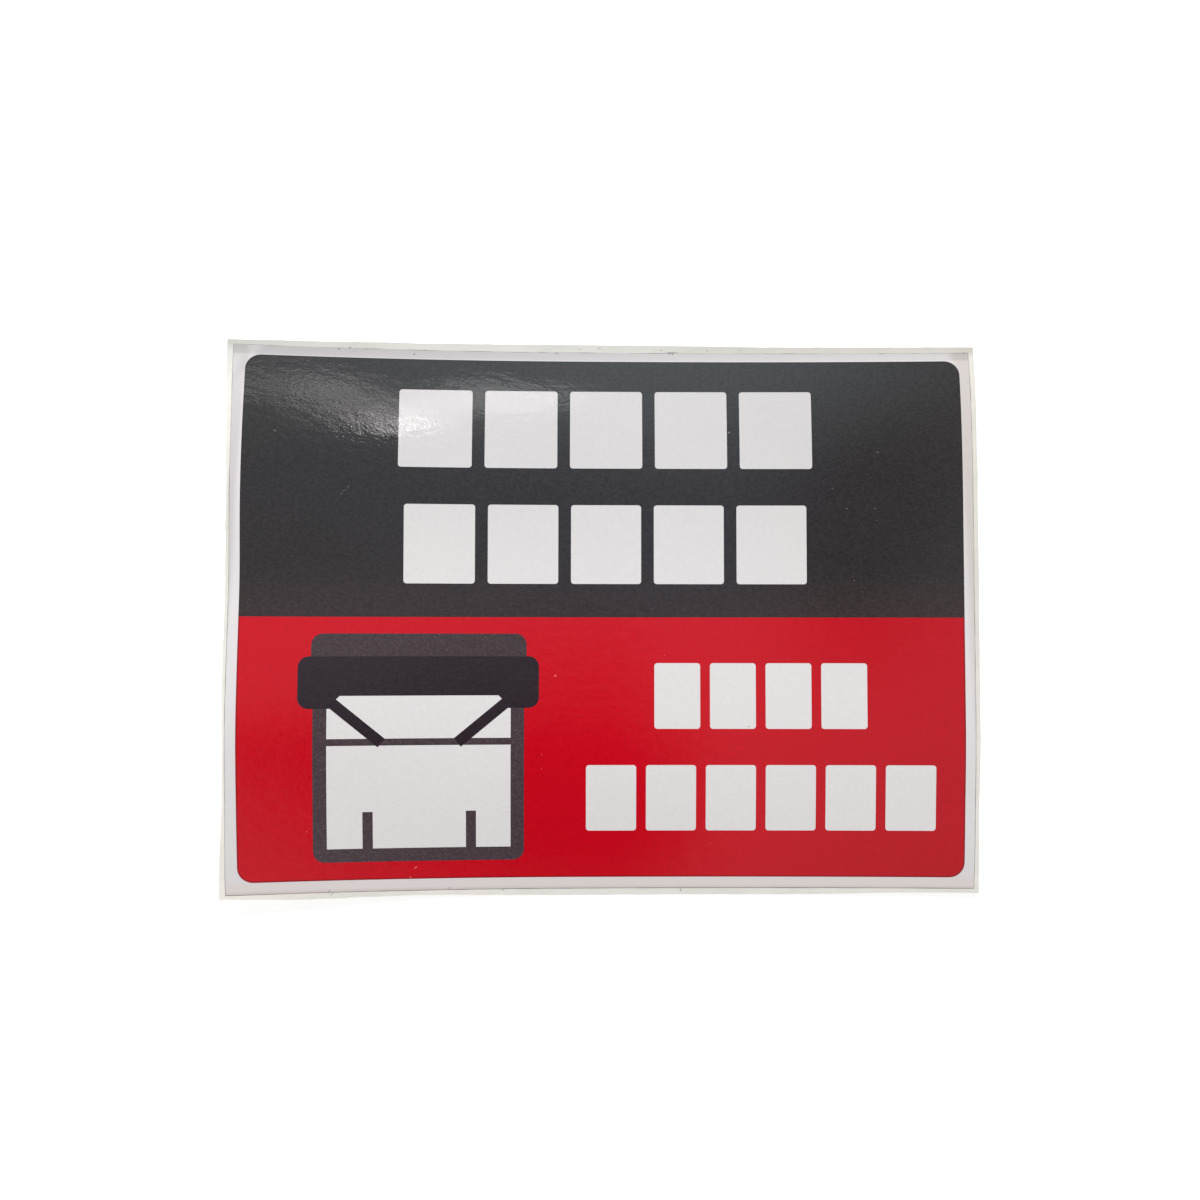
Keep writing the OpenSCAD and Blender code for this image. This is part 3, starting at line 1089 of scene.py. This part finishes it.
    def case_block_with_lines(self) -> bpy.types.Object:
        """Returns the case with its window open and its line and slots across it, as a cutter."""
        clear = self.case[0] - 2 * self.wall
        walls = self._box((self.case[0], self.case[1] + 5 * MM), 0, self.bottom, self.case_r)
        cut(walls, self._box((clear, self.case[1] + 6 * MM), 0, self.bottom + self.wall), Cut.OPEN_UP)
        line_bottom = self.bar_bottom - self.line_down - self.line_h
        cut(walls, self._box((clear + self.wall, self.line_h), 0, line_bottom), Cut.JOIN)
        for side in (-1, 1):
            size = (self.slot_w, self.slot_h + self.wall / 2)
            post = self._box(size, side * self.slot_gap / 2, self.bottom + self.wall / 2)
            cut(walls, post, Cut.JOIN)
        bar_top = self.bar_bottom + self.bar[1]
        cap = self._box((self.cap[0], self.cap[1] + 5 * MM), 0, bar_top - 5 * MM, self.case_r)
        return join([walls, cap])


@dataclass(frozen=True)
class BlockRow:
    """A row of equal plain blocks left open in the print."""

    x: float
    top: float
    width: float
    height: float
    count: int
    gap: float
    radius: float = 0.8 * MM

    def cutters(self, reach: float) -> list[bpy.types.Object]:
        """Returns one cutter for each block."""
        size = ((self.width - (self.count - 1) * self.gap) / self.count, self.height)
        first = self.x - self.width / 2 + size[0] / 2
        middles = [(first + i * (size[0] + self.gap), self.top - self.height / 2) for i in range(self.count)]
        return [add_block("block_cutter", size, middle, self.radius, reach, steps=5) for middle in middles]


@dataclass
class PrintedPanel(Layer):
    """The black field over the red one, with white shapes left open in both."""

    size: Point = PANEL
    radius: float = PANEL_CORNER
    split: float = -0.2 * MM
    z: float = 0.28 * MM
    ink_t: float = 0.02 * MM
    rows_on_black: tuple[BlockRow, ...] = (
        BlockRow(0, 61 * MM, 111 * MM, 21.2 * MM, 5, 3.4 * MM),
        BlockRow(0, 29.9 * MM, 107.6 * MM, 21.2 * MM, 5, 3.4 * MM),
    )
    rows_on_red: tuple[BlockRow, ...] = (
        BlockRow(41.3 * MM, -12.4 * MM, 56.8 * MM, 17.5 * MM, 4, 2.6 * MM),
        BlockRow(41.3 * MM, -39.5 * MM, 93.2 * MM, 17.5 * MM, 6, 2.6 * MM),
    )

    def _field(self, name: str, low: float, high: float, rows: Iterable[BlockRow]) -> bpy.types.Object:
        """Builds one field of ink between two heights of the print.

        Args:
            name: The piece's name.
            low: Its bottom.
            high: Its top.
            rows: The rows of blocks left open in it.

        Returns:
            The flat field.
        """
        size = (self.size[0] + 2 * self.cell, high - low + 2 * self.cell)
        layer = add_slab(name, size, (0, (low + high) / 2), self.z, self.ink_t, self.cell)
        panel = add_block("panel_cutter", self.size, (0, 0), self.radius, self.reach)
        band_size, band_middle = (2 * self.size[0], high - low), (0, (low + high) / 2)
        band = add_block("band_cutter", band_size, band_middle, 0, 2 * self.reach)
        cut(panel, band, Cut.KEEP_INSIDE)
        cut(layer, panel, Cut.KEEP_INSIDE)
        cut(layer, join([c for row in rows for c in row.cutters(self.reach)]), Cut.OPEN_UP)
        return layer

    def build(self, figure: SwitchFigure) -> None:
        """Builds both fields round the figure, and dresses them.

        Args:
            figure: The figure that the red field leaves room for.
        """
        top, bottom = self.size[1] / 2, -self.size[1] / 2
        black = self._field("black_print", self.split, top, self.rows_on_black)
        red = self._field("red_print", bottom, self.split, self.rows_on_red)
        cut(red, figure.case_block(), Cut.OPEN_UP)
        cut(red, figure.bar_block(), Cut.OPEN_UP)
        self.finish(black, BLACK_INK.make(self.effects), BLACK_INK.slot, "black_field")
        self.finish(red, RED_INK.make(self.effects), RED_INK.slot, "red_field")


# Studio


WHITE = (1.0, 1.0, 1.0)
WARM = (1.0, 0.94, 0.93)


@dataclass(frozen=True)
class SoftBox:
    """A soft light: where it hangs, what it faces, its size, brightness, colour and turn.

    It may be broken into bars along its width, as a window is behind a blind.
    """

    name: str
    place: Colour
    aim: Colour
    size: Point
    radiance: float
    colour: Colour = WHITE
    turn: float = 0.0
    bars: int = 1
    open_share: float = 0.45

    def build(self) -> None:
        """Adds the light, bar by bar."""
        share = self.open_share if self.bars > 1 else 1.0
        pitch = self.size[0] / self.bars
        way = Vector(self.aim) - Vector(self.place)
        turn = Euler((0, 0, math.radians(self.turn))).to_matrix()
        facing = way.to_track_quat("-Z", "Y").to_matrix() @ turn
        for bar in range(self.bars):
            along = (bar - (self.bars - 1) / 2) * pitch
            place = Vector(self.place) + facing @ Vector((along, 0, 0))
            self._bar(place, facing, (pitch * share, self.size[1]), self.radiance / share)

    def _bar(self, place: Vector, facing: Matrix, size: Point, radiance: float) -> None:
        """Adds one bar of the light.

        Args:
            place: Its middle.
            facing: How it is turned.
            size: Its width and height.
            radiance: How bright its face is.
        """
        data = bpy.data.lights.new(self.name, "AREA")
        data.shape, data.size, data.size_y = "RECTANGLE", *size
        data.energy = radiance * math.pi * size[0] * size[1]
        data.color = self.colour
        light = bpy.data.objects.new(self.name, data)
        light.location = place
        light.rotation_euler = facing.to_euler()
        bpy.context.scene.collection.objects.link(light)


@dataclass(frozen=True)
class Oval:
    """A soft oval of the sky: the middle of it, as a direction over the table, and its reach."""

    middle: Point
    reach: Point
    full_to: float
    none_from: float
    depth: float = 1.0

    def share(self, w: Wiring) -> bpy.types.NodeSocket:
        """Returns its strength in a direction of the sky, from 0 to its depth."""
        way = w.add("TexCoord").outputs["Generated"]
        inputs = {"Vector": way, "Location": (*self.middle, 0), "Scale": (*self.reach, 9)}
        own = w.add("Mapping", inputs, vector_type="TEXTURE").outputs[0]
        away = w.add("VectorMath", {0: own}, operation="LENGTH").outputs["Value"]
        return w.math("MULTIPLY", w.ramp(away, self.none_from, self.full_to), self.depth)


@dataclass(frozen=True)
class Sky:
    """A pale surround: a cool wall behind the top of the sheet, and shade where people stand."""

    plain: Colour = (0.5, 0.5, 0.49)
    glows: tuple[tuple[Oval, Colour], ...] = (
        (Oval((0.065, 0.6), (0.24, 0.42), 0.2, 1.1), (0.94, 1.2, 1.36)),
        (Oval((0.05, 0.18), (0.16, 0.24), 0.3, 1.2), (0.0, 0.05, 0.2)),
    )
    shades: tuple[Oval, ...] = (
        Oval((0.015, -0.28), (0.1, 0.3), 0.45, 1.25, 0.88),
        Oval((0.215, 0.12), (0.07, 0.2), 0.3, 1.2, 0.5),
    )

    def build(self) -> None:
        """Makes the sky the scene's world."""
        world = bpy.data.worlds.new("sky")
        world.use_nodes = True
        w = Wiring(world.node_tree)
        back = world.node_tree.nodes["Background"]
        colour = self.plain
        for oval, light in self.glows:
            lit = w.add("VectorMath", {0: light, 1: oval.share(w), 2: colour}, operation="MULTIPLY_ADD")
            colour = lit.outputs["Vector"]
        w.tree.links.new(colour, back.inputs["Color"])
        strength = 1.0
        for shade in self.shades:
            strength = w.math("SUBTRACT", strength, shade.share(w))
        w.tree.links.new(strength, back.inputs["Strength"])
        bpy.context.scene.world = world


@dataclass(frozen=True)
class Studio:
    """The floor, the lights and the camera over the middle of the sheet."""

    lens: float = 29.1
    camera_at: Colour = (-5.60 * MM, -5.17 * MM, 262.68 * MM)
    camera_turn: Colour = (2.118, -0.883, 0.061)
    floor_width: float = 6.0
    lights: tuple[SoftBox, ...] = (
        SoftBox("key", (-0.15, 0.68, 0.6), (0, 0, 0), (0.3, 0.3), 29.6, (1.0, 0.985, 1.0)),
        SoftBox("left wing", (-0.137, 0.490, 1.0), (-0.05, 0.05, 0), (0.125, 0.05), 2.6, WARM, -72, 4),
        SoftBox("window", (-0.055, 0.512, 1.0), (-0.05, 0.05, 0), (0.09, 0.09), 2.6, WHITE, 60, 3),
        SoftBox("sill", (-0.188, 0.556, 1.0), (-0.05, 0.05, 0), (0.075, 0.03), 1.9, WARM, 0, 2),
        SoftBox("lamp", (-0.107, 0.424, 1.0), (-0.05, 0.05, 0), (0.034, 0.013), 26, WARM, -65),
        SoftBox("lamp tail", (-0.128, 0.461, 1.0), (-0.05, 0.05, 0), (0.035, 0.013), 5, WARM, -65),
    )

    def build(self) -> None:
        """Builds the floor, lights, sky and camera."""
        self._floor()
        for light in self.lights:
            light.build()
        Sky().build()
        bpy.context.scene.view_settings.view_transform = "Standard"
        data = bpy.data.cameras.new("camera")
        data.lens, data.sensor_width, data.clip_start = self.lens, 36, 0.01
        camera = bpy.data.objects.new("camera", data)
        camera.location = self.camera_at
        camera.rotation_euler = Euler(math.radians(a) for a in self.camera_turn)
        bpy.context.scene.collection.objects.link(camera)
        bpy.context.scene.camera = camera

    def _floor(self) -> None:
        """Adds the floor."""
        start_clean()
        bpy.ops.mesh.primitive_plane_add(size=self.floor_width, location=(0, 0, 0))
        floor = bpy.context.object
        floor.name = "floor"
        floor.data.materials.append(StudioFloor().make())


def main() -> None:
    """Builds the sticker and the studio, and reports each piece."""
    logging.basicConfig(level=logging.INFO, format="%(message)s")
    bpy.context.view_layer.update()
    low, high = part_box("release_liner")
    curl = Curl(half_w=(high[0] - low[0]) / 2, half_h=(high[1] - low[1]) / 2)
    effects = Effects()
    Studio().build()
    ReleaseLiner(curl, effects).build()
    Film(curl, effects).build()
    figure = SwitchFigure(curl, effects)
    PrintedPanel(curl, effects).build(figure)
    figure.build()
    bpy.context.view_layer.update()


if __name__ == "__main__":
    main()
